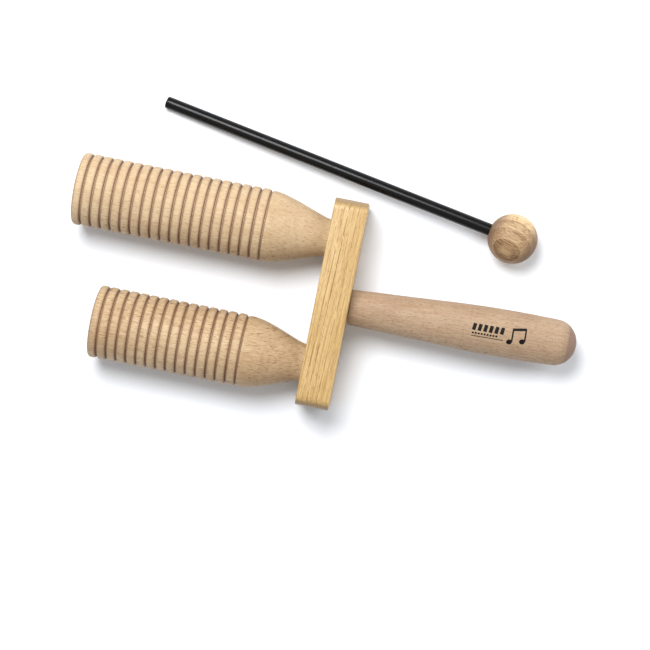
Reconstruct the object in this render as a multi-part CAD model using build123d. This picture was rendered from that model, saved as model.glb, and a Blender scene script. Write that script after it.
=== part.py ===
from build123d import *
import math
import os

# A hand-held two-tone tone block: two ribbed, hollow wooden tubes and a handle on
# one crossbar, with a loose beater lying beside the long tube. Millimetres.
# The origin is the middle of the crossbar's underside, on the surface that the
# instrument rests on. +X runs out along the handle, +Y to the long tube, +Z up.

# Tubes, shared
TUBE_RADIUS = 18.1            # over the ribs
SHOULDER_RADIUS = 17.7        # behind the last groove
TUBE_SPACING = 63.0           # between the two tubes' axes
AXIS_HEIGHT = TUBE_RADIUS     # the tubes just reach the surface below
BORE_RADIUS = 13.5
BORE_FLOOR_ROUND = 3.0
MOUTH_CHAMFER = 0.6
FRONT_EDGE_ROUND = 1.5
RIB_PITCH = 5.0
GROOVE_DEPTH = 1.55           # the ribs' edges are rounded all the way down
GROOVE_FLOOR = 0.3
FRONT_RIB_LENGTH = 4.45       # tube's front face to the middle of its first groove
SHOULDER_STRAIGHT = 1.4       # middle of the last groove to where the shoulder turns in

# Tube by tube: ribs, middle of the last groove to the crossbar, neck radius, and how
# far the shoulder's S-curve follows the tube and the neck before it turns
LONG_RIBS = 19
LONG_SHOULDER = 31.8
LONG_NECK_RADIUS = 9.2
LONG_CURVE = (7.9, 3.9)
SHORT_RIBS = 15
SHORT_SHOULDER = 31.4
SHORT_NECK_RADIUS = 9.4
SHORT_CURVE = (10.7, 5.5)

# Crossbar
BAR_THICKNESS = 16.6
BAR_LENGTH = 103.0
BAR_DEPTH = 2 * TUBE_RADIUS   # flush with the tubes, so the instrument lies level
BAR_END_ROUND = 5.5
BAR_EDGE_ROUND = 0.5

# Handle
HANDLE_LENGTH = 113.2
HANDLE_ROOT_RADIUS = 8.8
HANDLE_TAPER_LENGTH = 52.0
HANDLE_TAPER_RADIUS = 11.3
HANDLE_BELLY_AT = 77.0
HANDLE_BELLY_RADIUS = 11.9
HANDLE_END_RADIUS = 11.4
HANDLE_END_DOME = 10.8
HANDLE_LEAN = 1.6             # degrees towards the long tube

# Glued dowel pins
DOWEL_RADIUS = 4.0
DOWEL_LENGTH = 30.0
DOWEL_IN_BAR = 13.5
DOWEL_CHAMFER = 0.8
FLUTES = 10
FLUTE_RADIUS = 0.45
GLUE_GAP = 0.05               # all round a glued pin
HOLE_END_GAP = 0.5            # left past a pin's end for spare glue

# Beater
BALL_RADIUS = 12.4
BALL_PLACE = (81.0, 48.9)
ROD_RADIUS = 3.1
ROD_REACH = 186.4             # ball's centre to the rod's tip
ROD_PAST_CENTRE = 6.5         # how far the rod runs into the ball past its centre
ROD_EDGE_ROUND = 0.6
BEATER_DIRECTION = 169.55     # degrees from +X, from the ball to the tip

PIN_IN_PIECE = DOWEL_LENGTH - DOWEL_IN_BAR
BAR_FACE = BAR_THICKNESS / 2


def groove(x, near_radius, far_radius):
    """One groove at x: a quarter round down, a narrow floor, and a quarter round up."""
    half = GROOVE_FLOOR / 2
    floor = TUBE_RADIUS - GROOVE_DEPTH
    near_round = near_radius - floor
    far_round = far_radius - floor
    CenterArc((x - half - near_round, floor), near_round, 90, -90)
    Line((x - half, floor), (x + half, floor))
    CenterArc((x + half + far_round, floor), far_round, 180, -90)
    return (x - half - near_round, near_radius), (x + half + far_round, far_radius)


def ribbed_tube(ribs, shoulder_length, neck_radius, curve, side):
    """A turned tube: mouth and ribs at the front, shoulder and neck at the bar."""
    neck_end = -BAR_FACE
    last_groove = neck_end - shoulder_length
    front = last_groove - (ribs - 1) * RIB_PITCH - FRONT_RIB_LENGTH
    hole_radius = DOWEL_RADIUS + GLUE_GAP
    hole_end = neck_end - PIN_IN_PIECE - HOLE_END_GAP
    turn = (last_groove + SHOULDER_STRAIGHT, SHOULDER_RADIUS)
    with BuildSketch(Plane.XY) as half_section:
        with BuildLine():
            here = (front + FRONT_EDGE_ROUND, TUBE_RADIUS)
            CenterArc((here[0], here[1] - FRONT_EDGE_ROUND), FRONT_EDGE_ROUND, 180, -90)
            for number in range(1, ribs + 1):
                x = last_groove - (ribs - number) * RIB_PITCH
                far_radius = TUBE_RADIUS if number < ribs else SHOULDER_RADIUS
                into, out = groove(x, TUBE_RADIUS, far_radius)
                Line(here, into)
                here = out
            Line(here, turn)
            Bezier(
                turn,
                (turn[0] + curve[0], SHOULDER_RADIUS),
                (neck_end - curve[1], neck_radius),
                (neck_end, neck_radius),
            )
            Polyline(
                (neck_end, neck_radius),
                (neck_end, hole_radius),
                (hole_end, hole_radius),
                (hole_end, 0),
                (last_groove, 0),
                (last_groove, BORE_RADIUS - BORE_FLOOR_ROUND),
            )
            CenterArc(
                (last_groove - BORE_FLOOR_ROUND, BORE_RADIUS - BORE_FLOOR_ROUND),
                BORE_FLOOR_ROUND, 0, 90,
            )
            Polyline(
                (last_groove - BORE_FLOOR_ROUND, BORE_RADIUS),
                (front + MOUTH_CHAMFER, BORE_RADIUS),
                (front, BORE_RADIUS + MOUTH_CHAMFER),
                (front, TUBE_RADIUS - FRONT_EDGE_ROUND),
            )
        make_face()
    tube = revolve(half_section.sketch, Axis.X)
    return Pos(0, side * TUBE_SPACING / 2, AXIS_HEIGHT) * tube


def handle_place():
    """Where the handle's axis leaves the crossbar, turned to its lean.

    The square-cut root touches the bar on one side and stands off on the other."""
    stand_off = HANDLE_ROOT_RADIUS * math.sin(math.radians(HANDLE_LEAN))
    return Pos(BAR_FACE + stand_off, 0, AXIS_HEIGHT) * Rot(0, 0, HANDLE_LEAN)


def turned_handle():
    """The grip: a long taper, a soft belly and a rounded end."""
    dome_start = HANDLE_LENGTH - HANDLE_END_DOME
    hole_radius = DOWEL_RADIUS + GLUE_GAP
    hole_end = PIN_IN_PIECE + HOLE_END_GAP
    with BuildSketch(Plane.XY) as half_section:
        with BuildLine():
            Polyline(
                (HANDLE_LENGTH, 0),
                (hole_end, 0),
                (hole_end, hole_radius),
                (0, hole_radius),
                (0, HANDLE_ROOT_RADIUS),
                (HANDLE_TAPER_LENGTH, HANDLE_TAPER_RADIUS),
            )
            Spline(
                (HANDLE_TAPER_LENGTH, HANDLE_TAPER_RADIUS),
                (HANDLE_BELLY_AT, HANDLE_BELLY_RADIUS),
                (dome_start, HANDLE_END_RADIUS),
                tangents=[(HANDLE_TAPER_LENGTH, HANDLE_TAPER_RADIUS - HANDLE_ROOT_RADIUS), (1, -0.04)],
            )
            EllipticalCenterArc(
                (dome_start, 0), HANDLE_END_DOME, HANDLE_END_RADIUS, start_angle=0, arc_size=90
            )
        make_face()
    return handle_place() * revolve(half_section.sketch, Axis.X)


def dowel_along_x():
    """A fluted pin along X, with its bar end at x = 0."""
    pin = Cylinder(DOWEL_RADIUS, DOWEL_LENGTH)
    pin = chamfer(pin.edges().filter_by(GeomType.CIRCLE), DOWEL_CHAMFER)
    pin -= PolarLocations(DOWEL_RADIUS, FLUTES) * Cylinder(FLUTE_RADIUS, DOWEL_LENGTH)
    return Pos(DOWEL_LENGTH / 2, 0, 0) * Rot(0, 90, 0) * pin


def tube_dowel_place(side):
    """The pin's bar end, with the pin pointing into the tube's neck."""
    return Pos(-BAR_FACE + DOWEL_IN_BAR, side * TUBE_SPACING / 2, AXIS_HEIGHT) * Rot(0, 0, 180)


def handle_dowel_place():
    return handle_place() * Pos(-DOWEL_IN_BAR, 0, 0)


def bar_hole():
    """A blind hole for a pin's bar end: it starts outside the bar and ends past the pin."""
    length = DOWEL_LENGTH + HOLE_END_GAP
    return Pos(length / 2 - HOLE_END_GAP, 0, 0) * Rot(0, 90, 0) * Cylinder(DOWEL_RADIUS + GLUE_GAP, length)


def drilled_crossbar():
    bar = Box(BAR_THICKNESS, BAR_LENGTH, BAR_DEPTH)
    bar = fillet(bar.edges().filter_by(Axis.X), BAR_END_ROUND)
    bar = fillet(bar.faces().filter_by(Axis.X).edges(), BAR_EDGE_ROUND)
    bar = Pos(0, 0, BAR_DEPTH / 2) * bar
    for place in (tube_dowel_place(1), tube_dowel_place(-1), handle_dowel_place()):
        bar -= place * bar_hole()
    return bar


def beater_place():
    """The ball's centre, with X running down the rod to where its tip lies."""
    slope = math.degrees(math.asin((BALL_RADIUS - ROD_RADIUS) / ROD_REACH))
    return Pos(*BALL_PLACE, BALL_RADIUS) * Rot(0, 0, BEATER_DIRECTION) * Rot(0, slope, 0)


def beater_rod():
    length = ROD_REACH + ROD_PAST_CENTRE
    rod = Cylinder(ROD_RADIUS, length)
    rod = fillet(rod.edges().filter_by(GeomType.CIRCLE), ROD_EDGE_ROUND)
    return beater_place() * Pos(length / 2 - ROD_PAST_CENTRE, 0, 0) * Rot(0, 90, 0) * rod


def beater_ball():
    depth = BALL_RADIUS + ROD_PAST_CENTRE + HOLE_END_GAP
    start = -ROD_PAST_CENTRE - HOLE_END_GAP
    hole = Pos(start + depth / 2, 0, 0) * Rot(0, 90, 0) * Cylinder(ROD_RADIUS + GLUE_GAP, depth)
    return beater_place() * (Sphere(BALL_RADIUS) - hole)


pieces = {
    "long_tube": ribbed_tube(LONG_RIBS, LONG_SHOULDER, LONG_NECK_RADIUS, LONG_CURVE, 1),
    "short_tube": ribbed_tube(SHORT_RIBS, SHORT_SHOULDER, SHORT_NECK_RADIUS, SHORT_CURVE, -1),
    "crossbar": drilled_crossbar(),
    "handle": turned_handle(),
    "long_tube_dowel": tube_dowel_place(1) * dowel_along_x(),
    "short_tube_dowel": tube_dowel_place(-1) * dowel_along_x(),
    "handle_dowel": handle_dowel_place() * dowel_along_x(),
    "beater_rod": beater_rod(),
    "beater_ball": beater_ball(),
}

os.makedirs("parts", exist_ok=True)
for name, piece in pieces.items():
    export_step(piece, f"parts/{name}.step")
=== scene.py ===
import math
import random

import bmesh
import bpy
from mathutils import Euler, Matrix, Vector


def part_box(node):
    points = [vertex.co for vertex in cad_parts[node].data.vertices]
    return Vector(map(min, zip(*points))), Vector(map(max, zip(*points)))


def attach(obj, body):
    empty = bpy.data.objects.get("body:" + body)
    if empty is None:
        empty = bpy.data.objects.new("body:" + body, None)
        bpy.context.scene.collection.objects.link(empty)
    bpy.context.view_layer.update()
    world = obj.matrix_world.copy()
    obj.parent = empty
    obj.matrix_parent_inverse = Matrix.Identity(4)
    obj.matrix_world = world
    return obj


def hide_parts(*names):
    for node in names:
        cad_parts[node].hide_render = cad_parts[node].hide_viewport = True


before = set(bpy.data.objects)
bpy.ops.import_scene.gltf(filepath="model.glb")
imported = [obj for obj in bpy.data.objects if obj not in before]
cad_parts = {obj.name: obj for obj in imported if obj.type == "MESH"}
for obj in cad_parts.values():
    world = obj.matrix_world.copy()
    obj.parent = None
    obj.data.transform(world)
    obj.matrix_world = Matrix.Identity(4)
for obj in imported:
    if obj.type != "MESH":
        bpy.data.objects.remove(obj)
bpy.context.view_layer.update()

# A two-tone wooden tone block and its beater, rebuilt piece by piece inside the CAD's
# box. Dimensions are in millimetres, and MM turns them into metres.
MM = 0.001

# ---------------------------------------------------------------- dimensions, mm
TUBE_RADIUS = 18.1
SHOULDER_RADIUS = 17.7
BORE_RADIUS = 13.5
BORE_FLOOR_ROUND = 3.0
MOUTH_CHAMFER = 0.6
FRONT_EDGE_ROUND = 1.5
RIB_PITCH = 5.0
GROOVE_DEPTH = 1.55
GROOVE_FLOOR = 0.3
FRONT_RIB_LENGTH = 4.45
SHOULDER_STRAIGHT = 1.4
LONG_TUBE = {"ribs": 19, "shoulder_length": 31.8, "neck_radius": 9.2, "curve": (7.9, 3.9)}
SHORT_TUBE = {"ribs": 15, "shoulder_length": 31.4, "neck_radius": 9.4, "curve": (10.7, 5.5)}
JOINT_ROUND = 0.3             # eased edge where a turned end meets the crossbar
GROOVE_DRIFT = 0.07           # how far the turner's grooves stray from the pitch
CENTRE_MARK = 1.4             # point left by the drill in the middle of a bore's floor
LONG_SHOULDER_SHADE = 4.5     # how much painted shade darkens each shoulder (see lathe)
SHORT_SHOULDER_SHADE = 0.4

BAR_END_ROUND = 5.5
BAR_EDGE_ROUND = 0.5

HANDLE_LENGTH = 113.2
HANDLE_ROOT_RADIUS = 8.8
HANDLE_TAPER_LENGTH = 52.0
HANDLE_TAPER_RADIUS = 11.3
HANDLE_BELLY_AT = 77.0
HANDLE_BELLY_RADIUS = 11.9
HANDLE_END_RADIUS = 11.4
HANDLE_END_DOME = 10.8
HANDLE_END_SLOPE = 0.04       # how fast the belly narrows where the dome starts
HANDLE_LEAN = math.radians(1.6)

HOLE_RADIUS = 4.05            # for the glued dowels
TUBE_HOLE_DEPTH = 17.0
HANDLE_HOLE_DEPTH = 17.0
BAR_HOLE_DEPTH = 14.0
BAR_HOLE_SIDES = 48

BALL_RADIUS = 12.4
BALL_HOLE_RADIUS = 3.15
BALL_HOLE_DEPTH = 19.0
BALL_HOLE_CHAMFER = 0.35
ROD_RADIUS = 3.1
ROD_REACH = 186.4
ROD_PAST_CENTRE = 6.5
ROD_EDGE_ROUND = 0.6
BEATER_DIRECTION = math.radians(169.55)

# the print: places along the grip from its root, and round it from its top
INK_HEIGHT = 0.03             # the print stands this far off the grip
INK_SUNK = 0.08               # and reaches this far in
INK_COLUMNS = 4               # faces across a stroke
DRUM_STROKES = 6
DRUM_START = (61.6, -0.4)
DRUM_SLANT = 0.5
DRUM_HEIGHT = 3.4
DRUM_WIDTH = 1.75
DRUM_PITCH = 2.75
DASHES = 9
DASH_START = (61.0, -1.75)
DASH_LENGTH = 1.0
DASH_WIDTH = 0.85
DASH_PITCH = 1.45
RULE_START = (60.8, -3.2)
RULE_LENGTH = 15.8
RULE_WIDTH = 0.32
NOTE_HEADS = ((79.6, -3.4), (85.8, -2.3))
NOTE_HEAD_REACH = (1.363, 0.493)   # half of a head, along its slant
NOTE_HEAD_WIDTH = 2.5
NOTE_TIP_WIDTH = 0.12
STEM_OFFSET = (1.2, 0.3)
STEM_LENGTH = 6.3
STEM_WIDTH = 0.75
BEAM = ((80.6, 2.9), (87.2, 4.0))
BEAM_WIDTH = 1.35

# how far each turned surface is out of round, always inwards
TUBE_OUT_OF_ROUND = 0.05
HANDLE_OUT_OF_ROUND = 0.04
BALL_OUT_OF_ROUND = 0.04
ROD_OUT_OF_ROUND = 0.015
LOBES = 5                     # a five-lobed wave rides on the oval one
LOBE_SHARE = 0.4              # its height against the oval's
OVAL_TWIST = 0.021            # how far each wave turns along the axis, radians per mm
LOBE_TWIST = 0.13

TURNED_SEGMENTS = 144
ROD_SEGMENTS = 64
GROOVE_STEPS = 8
ON_AXIS = 1e-6                # an outline point this near the axis is a single vertex

# ---------------------------------------------------------------- places, from the frame
bar_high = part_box("crossbar")[1]
long_low, long_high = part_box("long_tube")
short_low, short_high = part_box("short_tube")
ball_low, ball_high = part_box("beater_ball")

BAR_FACE = bar_high.x / MM
BAR_HALF_LENGTH = bar_high.y / MM
BAR_DEPTH = bar_high.z / MM
AXIS_HEIGHT = BAR_DEPTH / 2
LONG_AXIS_Y = (long_low.y + long_high.y) / 2 / MM
SHORT_AXIS_Y = (short_low.y + short_high.y) / 2 / MM

ALONG = Vector((1, 0, 0))
HANDLE_ALONG = Vector((math.cos(HANDLE_LEAN), math.sin(HANDLE_LEAN), 0))
HANDLE_ROOT = Vector((BAR_FACE + HANDLE_ROOT_RADIUS * math.sin(HANDLE_LEAN), 0, AXIS_HEIGHT)) * MM
BALL_CENTRE = Vector((ball_high.x - BALL_RADIUS * MM, (ball_low.y + ball_high.y) / 2, BALL_RADIUS * MM))
ROD_DROP = math.asin((BALL_RADIUS - ROD_RADIUS) / ROD_REACH)
ROD_ALONG = Vector((
    math.cos(ROD_DROP) * math.cos(BEATER_DIRECTION),
    math.cos(ROD_DROP) * math.sin(BEATER_DIRECTION),
    -math.sin(ROD_DROP),
))


# ---------------------------------------------------------------- mesh helpers
def basis(direction):
    """A turn that takes +X to the direction, keeping +Z as upright as it can."""
    x = direction.normalized()
    y = Vector((0, 0, 1)).cross(x).normalized()
    z = x.cross(y)
    return Matrix((x, y, z)).transposed()


def arc(centre, radius, start, end, steps):
    """Points on an arc in the outline's plane, angles in degrees, ends included."""
    angles = [math.radians(start + (end - start) * step / steps) for step in range(steps + 1)]
    return [(centre[0] + radius * math.cos(a), centre[1] + radius * math.sin(a)) for a in angles]


def ellipse_quarter(centre, along, out, steps):
    """Points from the widest place of a dome to its tip on the axis, ends included."""
    angles = [math.pi / 2 * (1 - step / steps) for step in range(steps + 1)]
    return [(centre + along * math.cos(a), out * math.sin(a)) for a in angles]


def bezier(p0, p1, p2, p3, steps):
    """Points on a cubic curve between p0 and p3, ends included."""
    points = []
    for step in range(steps + 1):
        t = step / steps
        u = 1 - t
        points.append(tuple(
            u ** 3 * a + 3 * u * u * t * b + 3 * u * t * t * c + t ** 3 * d
            for a, b, c, d in zip(p0, p1, p2, p3)
        ))
    return points


def straight(start, end, steps):
    """Points after start up to and with end."""
    return [
        tuple(a + (b - a) * step / steps for a, b in zip(start, end))
        for step in range(1, steps + 1)
    ]


def new_piece(name, mesh, body, slot, material, *nodes):
    """Puts a mesh in the scene on the body it rides, and hides the nodes it replaces. The slot argument
    is not used.
    """
    piece = bpy.data.objects.new(name, mesh)
    bpy.context.scene.collection.objects.link(piece)
    mesh.materials.append(material)
    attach(piece, body)
    if nodes:
        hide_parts(*nodes)


def smooth(mesh, sharp_above=35):
    """Smooth shading, with edges kept sharp above an angle in degrees."""
    mesh.shade_smooth()
    mesh.set_sharp_from_angle(angle=math.radians(sharp_above))


def lathe(name, outline, place, direction, segments=TURNED_SEGMENTS, out_of_round=0.0):
    """A turned mesh from an outline that starts and ends on the axis.

    Each point is (along, radius, darkening, raw). The darkening is 0 on a crest, 1 on a
    groove's floor, and a shade of its own on a shoulder; in the grooves it is partly the
    turning tool's scorch and partly painted shade, on the shoulders painted shade. raw
    is 1 on drilled or sawn wood without lacquer. The surface is out of round by up to
    out_of_round millimetres, always inwards."""
    turn = basis(direction)
    verts = []
    rings = []
    shades = []
    for along, radius, scorch_and_shade, raw in outline:
        if radius < ON_AXIS:
            rings.append([len(verts)])
            verts.append(place + turn @ Vector((along * MM, 0, 0)))
            shades.append((scorch_and_shade, raw))
            continue
        ring = []
        for number in range(segments):
            angle = 2 * math.pi * number / segments
            oval = math.sin(2 * angle + along * OVAL_TWIST)
            lobes = math.sin(LOBES * angle - along * LOBE_TWIST) * LOBE_SHARE
            wave = (oval + lobes) / (1 + LOBE_SHARE)
            out = (radius - out_of_round * (1 + wave) / 2) * MM
            ring.append(len(verts))
            spot = Vector((along * MM, -math.sin(angle) * out, math.cos(angle) * out))
            verts.append(place + turn @ spot)
            shades.append((scorch_and_shade, raw))
        rings.append(ring)
    faces = []
    for lower, upper in zip(rings, rings[1:]):
        for number in range(segments):
            following = (number + 1) % segments
            if len(lower) == 1:
                faces.append((lower[0], upper[following], upper[number]))
            elif len(upper) == 1:
                faces.append((lower[number], lower[following], upper[0]))
            else:
                faces.append((lower[number], lower[following], upper[following], upper[number]))
    mesh = bpy.data.meshes.new(name)
    mesh.from_pydata(verts, [], faces)
    for index, attribute_name in enumerate(("scorch_and_shade", "raw")):
        attribute = mesh.attributes.new(attribute_name, "FLOAT", "POINT")
        attribute.data.foreach_set("value", [shade[index] for shade in shades])
    smooth(mesh)
    return mesh


def shade(points, scorch_and_shade=0.0, raw=0.0):
    """Outline points with the same darkening and raw values added to each."""
    return [(point[0], point[1], scorch_and_shade, raw) for point in points]


# ---------------------------------------------------------------- material helpers
def srgb(red, green, blue):
    """A colour given as 0 to 255 display values, as the linear value a shader takes."""
    def linear(value):
        value /= 255
        return value / 12.92 if value <= 0.04045 else ((value + 0.055) / 1.055) ** 2.4
    return (linear(red), linear(green), linear(blue), 1.0)


EARLY_WOOD = srgb(220, 197, 165)
RAY = srgb(126, 86, 59)
# brown of the tool's scorch in the grooves, also used as painted shade in the grooves and on the
# shoulders
SCORCH_AND_SHADE_BROWN = srgb(138, 105, 58)
UNLACQUERED = srgb(168, 135, 101)
BEECH_END = srgb(135, 104, 86)
BAR_PORE = srgb(122, 78, 30)
BAR_END = srgb(135, 112, 83)
INK = srgb(14, 13, 12)
INK_BREAK = srgb(90, 72, 56)
ROD_BLACK = srgb(9, 9, 10)
ROD_SCUFF = srgb(34, 34, 36)
ROD_SAWN_END = srgb(40, 39, 38)
PAPER_DARK = srgb(239, 242, 247)
PAPER_LIGHT = srgb(243, 246, 251)


class Graph:
    """One material's node tree, with short calls for the nodes it needs."""

    def __init__(self, name):
        self.material = bpy.data.materials.new(name)
        self.material.use_nodes = True
        self.tree = self.material.node_tree
        self.shader = self.tree.nodes["Principled BSDF"]

    def connect(self, socket, value):
        if isinstance(value, bpy.types.NodeSocket):
            self.tree.links.new(value, socket)
        else:
            socket.default_value = value

    def node(self, kind, inputs, **settings):
        made = self.tree.nodes.new(kind)
        for key, value in settings.items():
            setattr(made, key, value)
        for key, value in inputs.items():
            self.connect(made.inputs[key], value)
        return made

    def math(self, operation, *values, clamp=False):
        inputs = dict(enumerate(values))
        return self.node("ShaderNodeMath", inputs, operation=operation, use_clamp=clamp).outputs[0]

    def vector(self, operation, *values):
        inputs = dict(enumerate(values))
        return self.node("ShaderNodeVectorMath", inputs, operation=operation)

    def ramp(self, value, low, high, to_low=0.0, to_high=1.0):
        """A smooth step from to_low to to_high as value goes from low to high."""
        inputs = {0: value, 1: low, 2: high, 3: to_low, 4: to_high}
        return self.node("ShaderNodeMapRange", inputs, interpolation_type="SMOOTHSTEP").outputs[0]

    def mix(self, factor, first, second):
        inputs = {0: factor, 6: first, 7: second}
        return self.node("ShaderNodeMix", inputs, data_type="RGBA").outputs[2]

    def noise(self, vector, scale, detail=2.0, seed=0.0):
        """Noise with cells of 1/scale metres along each axis of the vector."""
        start = (seed, seed * 1.7, seed * 2.3)
        spread = self.node("ShaderNodeMapping", {"Vector": vector, "Scale": scale, "Location": start})
        inputs = {"Vector": spread.outputs[0], "Scale": 1.0, "Detail": detail}
        return self.node("ShaderNodeTexNoise", inputs).outputs["Fac"]

    def attribute(self, name):
        return self.node("ShaderNodeAttribute", {}, attribute_name=name).outputs["Fac"]


def wood_space(graph, place, grain, outward):
    """Object coordinates turned so that X runs with the grain and Y away from the pith.

    Also gives how squarely the surface faces along the grain, from 0 to 1."""
    x = grain.normalized()
    z = x.cross(outward).normalized()
    y = z.cross(x)
    turn = Matrix((x, y, z)).transposed()
    source = graph.node("ShaderNodeTexCoord", {})
    inputs = {"Vector": source.outputs["Object"], "Location": place, "Rotation": turn.to_euler()}
    spot = graph.node("ShaderNodeMapping", inputs, vector_type="TEXTURE").outputs[0]
    facing = graph.vector("DOT_PRODUCT", source.outputs["Normal"], tuple(x)).outputs["Value"]
    return spot, graph.math("ABSOLUTE", facing)


def growth_rings(graph, spot, pith, spacing, waver, seed):
    """Where a point lies within its year's ring, from 0 to 1, and that year's own number."""
    parts = graph.node("ShaderNodeSeparateXYZ", {0: spot}).outputs
    drift = graph.noise(spot, scale=(9, 45, 45), seed=seed)
    outwards = graph.math("ADD", parts[1], pith)
    distance = graph.math("SQRT", graph.math(
        "ADD", graph.math("MULTIPLY", outwards, outwards), graph.math("MULTIPLY", parts[2], parts[2])
    ))
    wavering = graph.math("ADD", distance, graph.math("MULTIPLY", drift, waver))
    years = graph.math("DIVIDE", wavering, spacing)
    year = graph.math("FLOOR", years)
    chance = graph.node("ShaderNodeTexWhiteNoise", {"W": year}, noise_dimensions="1D").outputs["Value"]
    return graph.math("FRACT", years), chance


def ray_flecks(graph, spot, length, thickness, spacing, seed):
    """Short dark dashes along the grain: one lens-shaped wood ray in every cell of a mesh.

    A cell is as long as a ray and a gap, deep enough that the ray runs on inwards, and
    one spacing wide. The ray fades out towards the edge of its lens."""
    reach = (length * 1.25, length * 2.0, spacing)
    per_metre = tuple(1 / size for size in reach)
    start = (seed, seed * 0.7, seed * 1.3)
    mapping = graph.node("ShaderNodeMapping", {"Vector": spot, "Scale": per_metre, "Location": start})
    cells = mapping.outputs[0]
    nearest = graph.node("ShaderNodeTexVoronoi", {"Vector": cells, "Scale": 1.0})
    away = graph.vector("SUBTRACT", cells, nearest.outputs["Position"]).outputs[0]
    lens = (reach[0] * 2 / length, 2.4, reach[2] * 2 / thickness)
    distance = graph.vector("LENGTH", graph.vector("MULTIPLY", away, lens).outputs[0]).outputs["Value"]
    chance = graph.node("ShaderNodeSeparateColor", {0: nearest.outputs["Color"]}).outputs[0]
    strength = graph.ramp(chance, 0.0, 1.0, 0.15, 1.0)
    return graph.math("MULTIPLY", graph.ramp(distance, 0.55, 1.15, 1.0, 0.0), strength)


def set_finish(graph, colour, roughness, relief, depth, gloss):
    """Connects a finished colour, roughness and fine relief, depth metres high, to the shader."""
    graph.connect(graph.shader.inputs["Base Color"], colour)
    graph.connect(graph.shader.inputs["Roughness"], roughness)
    inputs = {"Height": relief, "Distance": depth, "Strength": 0.6}
    bump = graph.node("ShaderNodeBump", inputs)
    graph.connect(graph.shader.inputs["Normal"], bump.outputs[0])
    graph.shader.inputs["Specular IOR Level"].default_value = gloss


def beech(
    name, place, grain, outward, light, dark, seed,
    ring_spacing=0.0032, ring_depth=0.3, pith=0.06, waver=0.0012, late_wood=2.2, figure=1.0, heart_and_shade=0.0,
    fleck_depth=0.5, fleck_length=0.0026, fleck_spacing=0.001,
    end_depth=0.8, end_facing_from=0.42, end_facing_to=0.8, end_colour=BEECH_END, scorch_and_shade_depth=0.04,
):
    """Lacquered beech: faint rings, short dark ray flecks, and darker end grain.

    The wood's own space starts at place, and the pith lies pith metres from there,
    against the outward direction. Lengths are in metres. Each depth, figure and heart
    says how strong that feature is. The darkening towards the pith is partly
    heartwood and partly painted shade."""
    graph = Graph(name)
    spot, end_facing = wood_space(graph, place, grain, outward)
    in_ring, chance = growth_rings(graph, spot, pith, ring_spacing, waver, seed)

    # a ring darkens slowly, ends in a dark line and starts again light
    late = graph.math("POWER", in_ring, late_wood)
    strength = graph.ramp(chance, 0.0, 1.0, 0.45, 1.0)
    early_line = graph.ramp(in_ring, 0.0, 0.12, 1.0, 0.0)
    late_shade = graph.math("MULTIPLY", late, strength)
    ring_shade = graph.math("MULTIPLY", late_shade, ring_depth)

    mottle = graph.noise(spot, scale=(22, 85, 85), detail=3.0, seed=seed + 3)
    fibre = graph.noise(spot, scale=(90, 1100, 2300), seed=seed + 5)
    tone = graph.math("ADD", ring_shade, graph.ramp(mottle, 0.3, 0.75, 0.0, 0.34 * figure))
    # heartwood and painted shade: darker towards the pith
    if heart_and_shade:
        across = graph.node("ShaderNodeSeparateXYZ", {0: spot}).outputs[1]
        tone = graph.math("ADD", tone, graph.ramp(across, -0.012, 0.008, heart_and_shade, 0.0))
    fibre_shade = graph.ramp(fibre, 0.3, 0.7, -0.15 * figure, 0.38 * figure)
    tone = graph.math("ADD", tone, fibre_shade, clamp=True)
    colour = graph.mix(tone, light, dark)
    early_share = graph.math("MULTIPLY", early_line, ring_depth * 0.35)
    colour = graph.mix(early_share, colour, EARLY_WOOD)

    # the rays, each seen edge-on as a dash, in a coarse and a fine size
    coarse = ray_flecks(
        graph, spot, length=fleck_length, thickness=0.00032,
        spacing=fleck_spacing, seed=seed + 8,
    )
    fine = ray_flecks(
        graph, spot, length=fleck_length * 0.6, thickness=0.00024,
        spacing=fleck_spacing * 0.6, seed=seed + 17,
    )
    fleck = graph.math("MAXIMUM", coarse, graph.math("MULTIPLY", fine, 0.7))
    fleck = graph.math("MULTIPLY", fleck, fleck_depth)
    colour = graph.mix(fleck, colour, RAY)

    # end grain drinks the lacquer and goes darker and pinker
    end = graph.math("MULTIPLY", graph.ramp(end_facing, end_facing_from, end_facing_to), end_depth)
    slope = graph.math("MULTIPLY", graph.ramp(end_facing, 0.1, 0.5), 0.18)
    colour = graph.mix(graph.math("MAXIMUM", end, slope), colour, end_colour)

    # the grooves darken unevenly, partly the turning tool's scorch and partly painted shade; the
    # shoulders take painted shade the same way; bores have no lacquer
    scorch_and_shade = graph.attribute("scorch_and_shade")
    raw = graph.attribute("raw")
    scorch_and_shade_share = graph.math("MULTIPLY", scorch_and_shade, graph.ramp(mottle, 0.2, 0.8, scorch_and_shade_depth * 0.6, scorch_and_shade_depth))
    colour = graph.mix(scorch_and_shade_share, colour, SCORCH_AND_SHADE_BROWN)
    colour = graph.mix(graph.math("MULTIPLY", raw, 0.3), colour, UNLACQUERED)

    roughness = graph.math("ADD", graph.math("MULTIPLY", fleck, 0.1), 0.55)
    roughness = graph.math("ADD", roughness, graph.math("MULTIPLY", raw, 0.3), clamp=True)
    relief = graph.math("SUBTRACT", graph.math("MULTIPLY", fibre, 0.35), fleck)
    set_finish(graph, colour, roughness, relief, depth=0.00006, gloss=0.2)
    return graph.material


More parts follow.
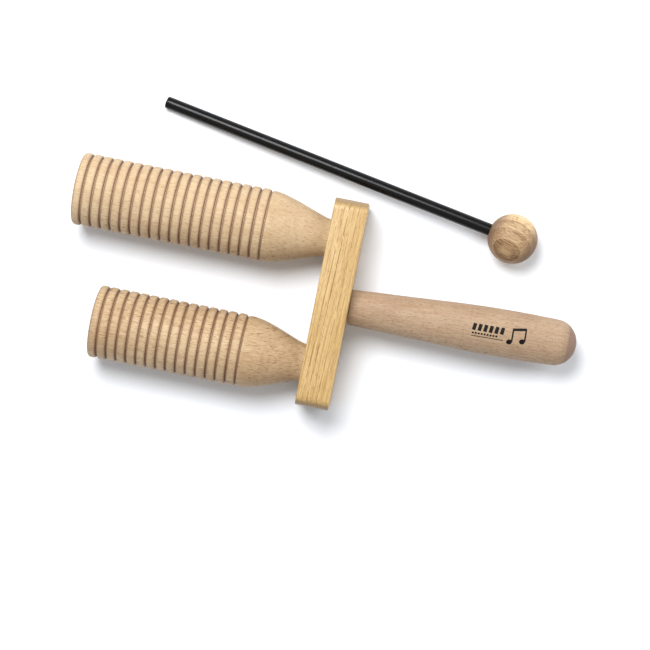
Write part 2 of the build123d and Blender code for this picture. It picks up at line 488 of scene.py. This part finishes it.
def straight_grained(name, place, grain, outward, light, dark, seed):
    """Clear-lacquered yellow hardwood: fine dark pore lines, in dashes, with each ring."""
    graph = Graph(name)
    spot, end_facing = wood_space(graph, place, grain, outward)
    in_ring, chance = growth_rings(graph, spot, pith=0.09, spacing=0.0022, waver=0.001, seed=seed)

    # the pores lie in a band at the start of each ring, with fine specks between the bands
    band_start = graph.ramp(in_ring, 0.0, 0.06)
    band_end = graph.ramp(in_ring, 0.12, 0.30, 1.0, 0.0)
    pore_band = graph.math("MULTIPLY", band_start, band_end)
    dash_noise = graph.noise(spot, scale=(220, 2200, 2200), seed=seed + 2)
    dashes = graph.ramp(dash_noise, 0.34, 0.54)
    strength = graph.ramp(chance, 0.0, 1.0, 0.4, 1.0)
    pores = graph.math("MULTIPLY", graph.math("MULTIPLY", pore_band, dashes), strength)
    speck_noise = graph.noise(spot, scale=(420, 2600, 2600), detail=1.0, seed=seed + 9)
    specks = graph.ramp(speck_noise, 0.56, 0.70, 0.0, 0.45)
    pores = graph.math("MAXIMUM", pores, specks)

    mottle = graph.noise(spot, scale=(14, 120, 120), detail=3.0, seed=seed + 4)
    fibre = graph.noise(spot, scale=(60, 1700, 1700), detail=3.0, seed=seed + 6)
    ring_shade = graph.math("MULTIPLY", in_ring, 0.22)
    tone = graph.math("ADD", ring_shade, graph.ramp(mottle, 0.3, 0.75, 0.0, 0.2))
    tone = graph.math("ADD", tone, graph.ramp(fibre, 0.3, 0.7, -0.2, 0.65), clamp=True)
    colour = graph.mix(tone, light, dark)
    colour = graph.mix(graph.math("MULTIPLY", pores, 0.95), colour, BAR_PORE)

    end = graph.math("MULTIPLY", graph.ramp(end_facing, 0.25, 0.75), 0.8)
    colour = graph.mix(end, colour, BAR_END)

    roughness = graph.math("ADD", graph.math("MULTIPLY", pores, 0.15), 0.4)
    relief = graph.math("SUBTRACT", graph.math("MULTIPLY", fibre, 0.3), pores)
    set_finish(graph, colour, roughness, relief, depth=0.00008, gloss=0.35)
    graph.shader.inputs["Coat Weight"].default_value = 0.12
    graph.shader.inputs["Coat Roughness"].default_value = 0.3
    return graph.material


def black_rod():
    """Pulled black plastic: fine lengthwise draw lines and a few faint scuffs."""
    graph = Graph("black_rod")
    spot, end_facing = wood_space(graph, BALL_CENTRE, ROD_ALONG, Vector((0, 0, 1)))
    draw_lines = graph.noise(spot, scale=(30, 5200, 5200), seed=2.0)
    scuff_noise = graph.noise(spot, scale=(260, 900, 900), detail=3.0, seed=7.0)
    scuffs = graph.ramp(scuff_noise, 0.62, 0.74)
    line_tone = graph.math("MULTIPLY", draw_lines, 0.25)
    tone = graph.math("ADD", line_tone, graph.math("MULTIPLY", scuffs, 0.3))
    colour = graph.mix(tone, ROD_BLACK, ROD_SCUFF)
    colour = graph.mix(graph.ramp(end_facing, 0.6, 0.9, 0.0, 0.5), colour, ROD_SAWN_END)
    line_roughness = graph.ramp(draw_lines, 0.2, 0.8, 0.2, 0.28)
    roughness = graph.math("ADD", graph.math("MULTIPLY", scuffs, 0.15), line_roughness)
    set_finish(graph, colour, roughness, draw_lines, depth=0.00002, gloss=0.2)
    return graph.material


def printing_ink():
    """Black pad-printed ink, a little broken where it sits on the wood's grain."""
    graph = Graph("printing_ink")
    source = graph.node("ShaderNodeTexCoord", {})
    breaks = graph.noise(source.outputs["Object"], scale=(900, 4200, 4200), seed=3.0)
    colour = graph.mix(graph.ramp(breaks, 0.55, 0.75, 0.0, 0.4), INK, INK_BREAK)
    graph.shader.inputs["Specular IOR Level"].default_value = 0.12
    graph.connect(graph.shader.inputs["Base Color"], colour)
    graph.connect(graph.shader.inputs["Roughness"], graph.ramp(breaks, 0.3, 0.7, 0.45, 0.6))
    return graph.material


# ---------------------------------------------------------------- tubes
def tube_outline(ribs, shoulder_length, neck_radius, curve, shoulder_shade, chance):
    """From the middle of the bore's floor, out of the mouth, over the ribs, to the neck."""
    neck_end = -BAR_FACE
    last_groove = neck_end - shoulder_length
    front = last_groove - (ribs - 1) * RIB_PITCH - FRONT_RIB_LENGTH
    floor_edge = (last_groove - BORE_FLOOR_ROUND, BORE_RADIUS - BORE_FLOOR_ROUND)

    bore = [(last_groove + CENTRE_MARK, 0), (last_groove, CENTRE_MARK)]
    bore += straight(bore[-1], (last_groove, floor_edge[1]), steps=4)
    bore += arc(floor_edge, BORE_FLOOR_ROUND, 0, 90, steps=8)[1:]
    bore += straight(bore[-1], (front + MOUTH_CHAMFER, BORE_RADIUS), steps=24)
    outline = shade(bore, raw=1.0)
    mouth = (front, BORE_RADIUS + MOUTH_CHAMFER)
    outline += shade([mouth], raw=0.5)
    outer_edge = (front + FRONT_EDGE_ROUND, TUBE_RADIUS - FRONT_EDGE_ROUND)
    outline += shade(straight(mouth, (front, outer_edge[1]), steps=3))
    outline += shade(arc(outer_edge, FRONT_EDGE_ROUND, 180, 90, steps=7)[1:])

    for number in range(1, ribs + 1):
        far_radius = TUBE_RADIUS if number < ribs else SHOULDER_RADIUS
        middle = last_groove - (ribs - number) * RIB_PITCH + chance.uniform(-1, 1) * GROOVE_DRIFT
        floor = TUBE_RADIUS - GROOVE_DEPTH + chance.uniform(-0.5, 0.5) * GROOVE_DRIFT
        half = GROOVE_FLOOR / 2
        near_round = TUBE_RADIUS - floor
        far_round = far_radius - floor
        into = arc((middle - half - near_round, floor), near_round, 90, 0, GROOVE_STEPS)
        out = arc((middle + half + far_round, floor), far_round, 180, 90, GROOVE_STEPS)
        outline += shade(straight(outline[-1][:2], into[0], steps=3)[:-1])
        # the rib edges darken down to the groove's floor: partly the turning tool's scorch, partly
        # painted shade
        outline += [(*point, groove_scorch_and_shade(step), 0.0) for step, point in enumerate(into)]
        outline += shade([(middle, floor)], scorch_and_shade=1.0)
        outline += [(*point, groove_scorch_and_shade(GROOVE_STEPS - step), 0.0) for step, point in enumerate(out)]

    turn = (last_groove + SHOULDER_STRAIGHT, SHOULDER_RADIUS)
    outline += shade(straight(outline[-1][:2], turn, steps=2)[:-1])
    neck_edge = (neck_end - JOINT_ROUND, neck_radius - JOINT_ROUND)
    # the shoulder is darkened all round with painted shade
    outline += shade(bezier(
        turn,
        (turn[0] + curve[0], SHOULDER_RADIUS),
        (neck_end - curve[1], neck_radius),
        (neck_edge[0], neck_radius),
        steps=36,
    ), scorch_and_shade=shoulder_shade)
    outline += shade(arc(neck_edge, JOINT_ROUND, 90, 0, steps=4)[1:])
    hole_end = neck_end - TUBE_HOLE_DEPTH
    hole = [(neck_end, HOLE_RADIUS), (hole_end, HOLE_RADIUS), (hole_end, 0)]
    return outline + shade(hole, raw=1.0)


def groove_scorch_and_shade(step):
    """How dark the rib's edge is made, from the crest (0) down to the groove's floor: partly the turning
    tool's scorch, partly painted shade.
    """
    return (step / GROOVE_STEPS) ** 2


def make_tube(node, shape, shoulder_shade, axis_y, material, seed):
    outline = tube_outline(**shape, shoulder_shade=shoulder_shade, chance=random.Random(seed))
    place = Vector((0, axis_y, AXIS_HEIGHT)) * MM
    mesh = lathe(node + "_turned", outline, place, ALONG, out_of_round=TUBE_OUT_OF_ROUND)
    new_piece(node + "_turned", mesh, "instrument", "tube_wood", material, node)


# ---------------------------------------------------------------- handle
def handle_outline():
    """From the middle of the root's dowel hole, over the grip, to the end of the dome."""
    outline = shade([(HANDLE_HOLE_DEPTH, 0), (HANDLE_HOLE_DEPTH, HOLE_RADIUS), (0, HOLE_RADIUS)], raw=1.0)
    root_edge = (JOINT_ROUND, HANDLE_ROOT_RADIUS - JOINT_ROUND)
    outline += shade([(0, root_edge[1])])
    outline += shade(arc(root_edge, JOINT_ROUND, 180, 90, steps=4)[1:])
    taper_end = (HANDLE_TAPER_LENGTH, HANDLE_TAPER_RADIUS)
    outline += shade(straight((JOINT_ROUND, HANDLE_ROOT_RADIUS), taper_end, steps=24))
    slope = (HANDLE_TAPER_RADIUS - HANDLE_ROOT_RADIUS) / HANDLE_TAPER_LENGTH
    reach = (HANDLE_BELLY_AT - HANDLE_TAPER_LENGTH) / 3
    belly = (HANDLE_BELLY_AT, HANDLE_BELLY_RADIUS)
    outline += shade(bezier(
        taper_end,
        (taper_end[0] + reach, taper_end[1] + reach * slope),
        (belly[0] - reach, belly[1]),
        belly,
        steps=10,
    )[1:])
    dome = HANDLE_LENGTH - HANDLE_END_DOME
    reach = (dome - HANDLE_BELLY_AT) / 3
    outline += shade(bezier(
        belly,
        (belly[0] + reach, belly[1]),
        (dome - reach, HANDLE_END_RADIUS + reach * HANDLE_END_SLOPE),
        (dome, HANDLE_END_RADIUS),
        steps=14,
    )[1:])
    outline += shade(ellipse_quarter(dome, HANDLE_END_DOME, HANDLE_END_RADIUS, steps=24)[1:-1])
    return outline + shade([(HANDLE_LENGTH, 0)])


def make_handle(material):
    outline = handle_outline()
    mesh = lathe("handle_turned", outline, HANDLE_ROOT, HANDLE_ALONG, out_of_round=HANDLE_OUT_OF_ROUND)
    new_piece("handle_turned", mesh, "instrument", "handle_wood", material, "handle")


# ---------------------------------------------------------------- print on the handle
def handle_radius(along):
    """The grip's radius at a distance from its root."""
    outline = handle_outline()
    for near, far in zip(outline, outline[1:]):
        if near[1] > HOLE_RADIUS and near[0] <= along <= far[0]:
            share = (along - near[0]) / (far[0] - near[0])
            return near[1] + share * (far[1] - near[1])


def on_handle(along, across, lift):
    """A point of the print: millimetres along the grip, and round it from its top."""
    radius = handle_radius(along)
    angle = across / radius
    out = radius + lift
    spot = Vector((along, out * math.sin(angle), out * math.cos(angle)))
    return HANDLE_ROOT + basis(HANDLE_ALONG) @ spot * MM


def ink_stroke(bm, start, run, width_at, steps=8):
    """A thin closed slab of ink over a run from start, width_at(share) millimetres wide."""
    start = Vector(start)
    run = Vector(run)
    side = Vector((-run.y, run.x)).normalized()
    columns = INK_COLUMNS
    layers = []
    for lift in (INK_HEIGHT, -INK_SUNK):
        rows = []
        for step in range(steps + 1):
            share = step / steps
            middle = start + run * share
            row = []
            for column in range(columns + 1):
                spot = middle + side * width_at(share) * (column / columns - 0.5)
                row.append(bm.verts.new(on_handle(spot.x, spot.y, lift)))
            rows.append(row)
        layers.append(rows)
    top, bottom = layers
    for near, far in zip(range(steps), range(1, steps + 1)):
        for left, right in zip(range(columns), range(1, columns + 1)):
            bm.faces.new((top[near][left], top[far][left], top[far][right], top[near][right]))
            bm.faces.new((bottom[near][left], bottom[near][right], bottom[far][right], bottom[far][left]))
    rim = [(0, column) for column in range(columns)]
    rim += [(step, columns) for step in range(steps)]
    rim += [(steps, column) for column in range(columns, 0, -1)]
    rim += [(step, 0) for step in range(steps, 0, -1)]
    for (row, column), (next_row, next_column) in zip(rim, rim[1:] + rim[:1]):
        bm.faces.new((
            top[row][column],
            top[next_row][next_column],
            bottom[next_row][next_column],
            bottom[row][column],
        ))


def even(width):
    """The width of a stroke that is the same all along."""
    return lambda share: width


def swelling(share):
    """The width of a note's head, which swells like an ellipse and closes again."""
    return max(NOTE_TIP_WIDTH, NOTE_HEAD_WIDTH * math.sqrt(1 - (2 * share - 1) ** 2))


def make_print(material):
    """Generic percussion mark: drum strokes over two lines, and a pair of joined notes."""
    bm = bmesh.new()
    for number in range(DRUM_STROKES):
        foot = (DRUM_START[0] + number * DRUM_PITCH, DRUM_START[1])
        ink_stroke(bm, foot, (DRUM_SLANT, DRUM_HEIGHT), even(DRUM_WIDTH))
    for number in range(DASHES):
        start = (DASH_START[0] + number * DASH_PITCH, DASH_START[1])
        ink_stroke(bm, start, (DASH_LENGTH, 0), even(DASH_WIDTH), steps=2)
    ink_stroke(bm, RULE_START, (RULE_LENGTH, 0), even(RULE_WIDTH), steps=24)
    for along, across in NOTE_HEADS:
        reach = Vector(NOTE_HEAD_REACH)
        ink_stroke(bm, Vector((along, across)) - reach, reach * 2, swelling, steps=12)
        stem = (along + STEM_OFFSET[0], across + STEM_OFFSET[1])
        ink_stroke(bm, stem, (0, STEM_LENGTH), even(STEM_WIDTH))
    beam_start, beam_end = (Vector(end) for end in BEAM)
    ink_stroke(bm, beam_start, beam_end - beam_start, even(BEAM_WIDTH), steps=12)
    bmesh.ops.recalc_face_normals(bm, faces=bm.faces)
    mesh = bpy.data.meshes.new("handle_print")
    bm.to_mesh(mesh)
    bm.free()
    new_piece("handle_print", mesh, "instrument", None, material)


# ---------------------------------------------------------------- crossbar
def rounded_rectangle(half_width, half_height, radius, steps):
    """Corner arcs of a rectangle about (0, 0), as one closed run of points."""
    points = []
    corners = ((1, 1, 0), (-1, 1, 90), (-1, -1, 180), (1, -1, 270))
    for side, up, start in corners:
        centre = (side * (half_width - radius), up * (half_height - radius))
        points += arc(centre, radius, start, start + 90, steps)
    return points


def bar_ring(bm, x, inset):
    """One ring of the bar's outline at x, the inset smaller all round."""
    points = rounded_rectangle(
        BAR_HALF_LENGTH - inset, BAR_DEPTH / 2 - inset, BAR_END_ROUND - inset, steps=12
    )
    return [bm.verts.new(Vector((x, y, z + AXIS_HEIGHT)) * MM) for y, z in points]


def edges_round(bm, ring):
    """The edges that join a closed run of vertices."""
    count = len(ring)
    return [bm.edges.get((ring[number], ring[(number + 1) % count])) for number in range(count)]


def hole_rings(bm, face_x, axis_y, inward):
    """Mouth and floor circles of one dowel hole; returns the mouth's edges."""
    turn = basis(inward)
    mouth = []
    floor = []
    centre = Vector((face_x, axis_y, AXIS_HEIGHT))
    for number in range(BAR_HOLE_SIDES):
        angle = 2 * math.pi * number / BAR_HOLE_SIDES
        around = turn @ Vector((0, math.cos(angle), math.sin(angle))) * HOLE_RADIUS
        to_face = inward * (-around.x / inward.x)
        mouth.append(bm.verts.new((centre + around + to_face) * MM))
        floor.append(bm.verts.new((centre + around + inward * BAR_HOLE_DEPTH) * MM))
    for number in range(BAR_HOLE_SIDES):
        following = (number + 1) % BAR_HOLE_SIDES
        bm.faces.new((mouth[number], mouth[following], floor[following], floor[number]))
    bm.faces.new(floor)
    return edges_round(bm, mouth)


def make_crossbar(material):
    """A sawn bar with rounded ends, eased long edges and three blind dowel holes."""
    bm = bmesh.new()
    eased = arc((0, 0), BAR_EDGE_ROUND, 90, 0, steps=4)
    rings = []
    for away, up in reversed(eased):
        rings.append(bar_ring(bm, -(BAR_FACE - BAR_EDGE_ROUND) - away, BAR_EDGE_ROUND - up))
    for away, up in eased:
        rings.append(bar_ring(bm, BAR_FACE - BAR_EDGE_ROUND + away, BAR_EDGE_ROUND - up))
    for lower, upper in zip(rings, rings[1:]):
        for number in range(len(lower)):
            following = (number + 1) % len(lower)
            bm.faces.new((lower[number], lower[following], upper[following], upper[number]))
    tube_holes = [(LONG_AXIS_Y, ALONG), (SHORT_AXIS_Y, ALONG)]
    handle_holes = [(0.0, -HANDLE_ALONG)]
    for ring, face_x, holes in ((rings[0], -BAR_FACE, tube_holes), (rings[-1], BAR_FACE, handle_holes)):
        edges = edges_round(bm, ring)
        for axis_y, inward in holes:
            edges += hole_rings(bm, face_x, axis_y, inward)
        bmesh.ops.triangle_fill(bm, use_beauty=True, use_dissolve=False, edges=edges)
    bmesh.ops.recalc_face_normals(bm, faces=bm.faces)
    mesh = bpy.data.meshes.new("crossbar_sawn")
    bm.to_mesh(mesh)
    bm.free()
    smooth(mesh)
    new_piece("crossbar_sawn", mesh, "instrument", "crossbar_wood", material, "crossbar")


# ---------------------------------------------------------------- beater
def make_ball(material):
    hole_floor = BALL_RADIUS - BALL_HOLE_DEPTH
    lip = BALL_HOLE_RADIUS + BALL_HOLE_CHAMFER
    start = math.degrees(math.asin(lip / BALL_RADIUS))
    outline = shade([(hole_floor, 0), (hole_floor, BALL_HOLE_RADIUS)], raw=1.0)
    surface = arc((0, 0), BALL_RADIUS, start, 180, steps=72)
    outline += shade([(surface[0][0] - BALL_HOLE_CHAMFER, BALL_HOLE_RADIUS)], raw=1.0)
    outline += shade(surface[:-1])
    outline += shade([(-BALL_RADIUS, 0)])
    mesh = lathe("beater_ball_turned", outline, BALL_CENTRE, ROD_ALONG, out_of_round=BALL_OUT_OF_ROUND)
    new_piece("beater_ball_turned", mesh, "beater", "beater_ball_wood", material, "beater_ball")


def make_rod(material):
    start = -ROD_PAST_CENTRE
    edge = ROD_RADIUS - ROD_EDGE_ROUND
    points = [(start, 0), (start, edge)]
    points += arc((start + ROD_EDGE_ROUND, edge), ROD_EDGE_ROUND, 180, 90, steps=5)[1:]
    points += straight(points[-1], (ROD_REACH - ROD_EDGE_ROUND, ROD_RADIUS), steps=60)
    points += arc((ROD_REACH - ROD_EDGE_ROUND, edge), ROD_EDGE_ROUND, 90, 0, steps=5)[1:]
    points += [(ROD_REACH, 0)]
    mesh = lathe(
        "beater_rod_drawn", shade(points), BALL_CENTRE, ROD_ALONG,
        segments=ROD_SEGMENTS, out_of_round=ROD_OUT_OF_ROUND,
    )
    new_piece("beater_rod_drawn", mesh, "beater", "beater_rod_plastic", material, "beater_rod")


# ---------------------------------------------------------------- build
long_wood = beech(
    "long_tube_beech", place=Vector((-80, LONG_AXIS_Y, AXIS_HEIGHT)) * MM,
    grain=ALONG, outward=Vector((0, 0.35, 1)),
    light=srgb(200, 177, 143), dark=srgb(173, 143, 108), seed=1.0,
    fleck_depth=0.6, fleck_length=0.0022, fleck_spacing=0.0008,
)
short_wood = beech(
    "short_tube_beech", place=Vector((-70, SHORT_AXIS_Y, AXIS_HEIGHT)) * MM,
    grain=ALONG, outward=Vector((0, -0.25, 1)),
    light=srgb(197, 173, 139), dark=srgb(159, 126, 92), seed=33.0,
    fleck_depth=0.95, fleck_length=0.0028, fleck_spacing=0.0008, scorch_and_shade_depth=0.5,
)
handle_wood = beech(
    "handle_beech", place=HANDLE_ROOT,
    grain=HANDLE_ALONG, outward=Vector((0, 0.2, 1)),
    light=srgb(177, 153, 127), dark=srgb(151, 123, 97), seed=41.0,
    ring_depth=0.15, figure=1.1,
    fleck_depth=0.75, fleck_length=0.002, fleck_spacing=0.00065,
    end_depth=0.72, end_facing_from=0.42, end_facing_to=0.62, end_colour=srgb(126, 100, 88),
)
ball_wood = beech(
    "ball_beech", place=BALL_CENTRE,
    grain=Vector((0.94, -0.3, 0.05)), outward=Vector((0.119, 0.615, -0.78)),
    light=srgb(250, 218, 170), dark=srgb(92, 58, 31), seed=61.0,
    ring_spacing=0.00455, ring_depth=0.24, pith=0.0738, waver=0.0006, late_wood=1.3,
    # the heart darkening here is partly heartwood and partly painted shade, over the half of the ball
    # turned against the outward direction
    figure=0.5, heart_and_shade=0.54,
    fleck_depth=0.4, fleck_length=0.0022, fleck_spacing=0.0008,
    end_facing_from=0.3, end_facing_to=0.95, end_colour=srgb(108, 80, 62),
)
bar_wood = straight_grained(
    "crossbar_lacquered", place=Vector((0, 0, AXIS_HEIGHT)) * MM,
    grain=Vector((0.02, 1, 0.01)), outward=Vector((1, 0, 0.25)),
    light=srgb(197, 168, 115), dark=srgb(170, 134, 79), seed=81.0,
)
pin_wood = beech(
    "dowel_beech", place=Vector((-20, 0, AXIS_HEIGHT)) * MM,
    grain=ALONG, outward=Vector((0, 0.3, 1)),
    light=srgb(205, 179, 143), dark=srgb(179, 146, 108), seed=91.0,
)

make_tube("long_tube", LONG_TUBE, LONG_SHOULDER_SHADE, LONG_AXIS_Y, long_wood, seed=11)
make_tube("short_tube", SHORT_TUBE, SHORT_SHOULDER_SHADE, SHORT_AXIS_Y, short_wood, seed=12)
make_handle(handle_wood)
make_print(printing_ink())
make_crossbar(bar_wood)
make_ball(ball_wood)
make_rod(black_rod())
for dowel in ("long_tube_dowel", "short_tube_dowel", "handle_dowel"):
    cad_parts[dowel].data.materials.clear()
    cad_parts[dowel].data.materials.append(pin_wood)


# ---------------------------------------------------------------- floor, light, camera
CAMERA_PLACE = Vector((24.0, 22.8, 935.3)) * MM
CAMERA_AIM = Vector((-2.2, -11.8, 0.0)) * MM
CAMERA_ROLL = math.radians(11.31)
CAMERA_LENS = 102.7
CAMERA_SENSOR = 36
FLOOR_HALF = 3.0              # metres, far past everything in view


def make_floor():
    """A sheet of pale paper under the instrument."""
    graph = Graph("floor_paper")
    source = graph.node("ShaderNodeTexCoord", {})
    fibres = graph.noise(source.outputs["Object"], scale=(900, 900, 900))
    graph.connect(graph.shader.inputs["Base Color"], graph.mix(fibres, PAPER_DARK, PAPER_LIGHT))
    graph.shader.inputs["Roughness"].default_value = 0.9
    graph.shader.inputs["Specular IOR Level"].default_value = 0.0
    mesh = bpy.data.meshes.new("floor")
    corners = [(x * FLOOR_HALF, y * FLOOR_HALF, 0) for x, y in ((-1, -1), (1, -1), (1, 1), (-1, 1))]
    mesh.from_pydata(corners, [], [(0, 1, 2, 3)])
    floor = bpy.data.objects.new("floor", mesh)
    mesh.materials.append(graph.material)
    bpy.context.scene.collection.objects.link(floor)


def make_light(name, around, up, distance, size, power):
    """A soft round light aimed at the instrument, its direction given in degrees."""
    data = bpy.data.lights.new(name, "AREA")
    data.shape = "DISK"
    data.size = size
    data.energy = power
    light = bpy.data.objects.new(name, data)
    turn = Euler((0, math.radians(90 - up), math.radians(around)))
    light.location = turn.to_matrix() @ Vector((0, 0, distance))
    light.rotation_euler = turn
    light.visible_camera = False
    bpy.context.scene.collection.objects.link(light)


def make_world(strength):
    """Even white light from all round."""
    world = bpy.data.worlds.new("studio")
    world.use_nodes = True
    background = world.node_tree.nodes["Background"]
    background.inputs["Color"].default_value = (1, 1, 1, 1)
    background.inputs["Strength"].default_value = strength
    bpy.context.scene.world = world


def make_camera():
    """Nearly straight above, rolled so that the instrument lies aslant in the frame."""
    data = bpy.data.cameras.new("camera")
    data.lens = CAMERA_LENS
    data.sensor_width = CAMERA_SENSOR
    camera = bpy.data.objects.new("camera", data)
    back = (CAMERA_PLACE - CAMERA_AIM).normalized()
    up = Vector((0, 1, 0)) - back * back.y
    up = Matrix.Rotation(CAMERA_ROLL, 3, back) @ up.normalized()
    side = up.cross(back)
    turn = Matrix((side, up, back)).transposed().to_4x4()
    camera.matrix_world = Matrix.Translation(CAMERA_PLACE) @ turn
    bpy.context.scene.collection.objects.link(camera)
    bpy.context.scene.camera = camera


make_floor()
make_world(strength=0.5)
make_light("key", around=122, up=64, distance=0.85, size=0.44, power=7.5)
make_light("fill", around=40, up=35, distance=3.0, size=1.9, power=29.0)
make_camera()
bpy.context.scene.view_settings.view_transform = "Standard"
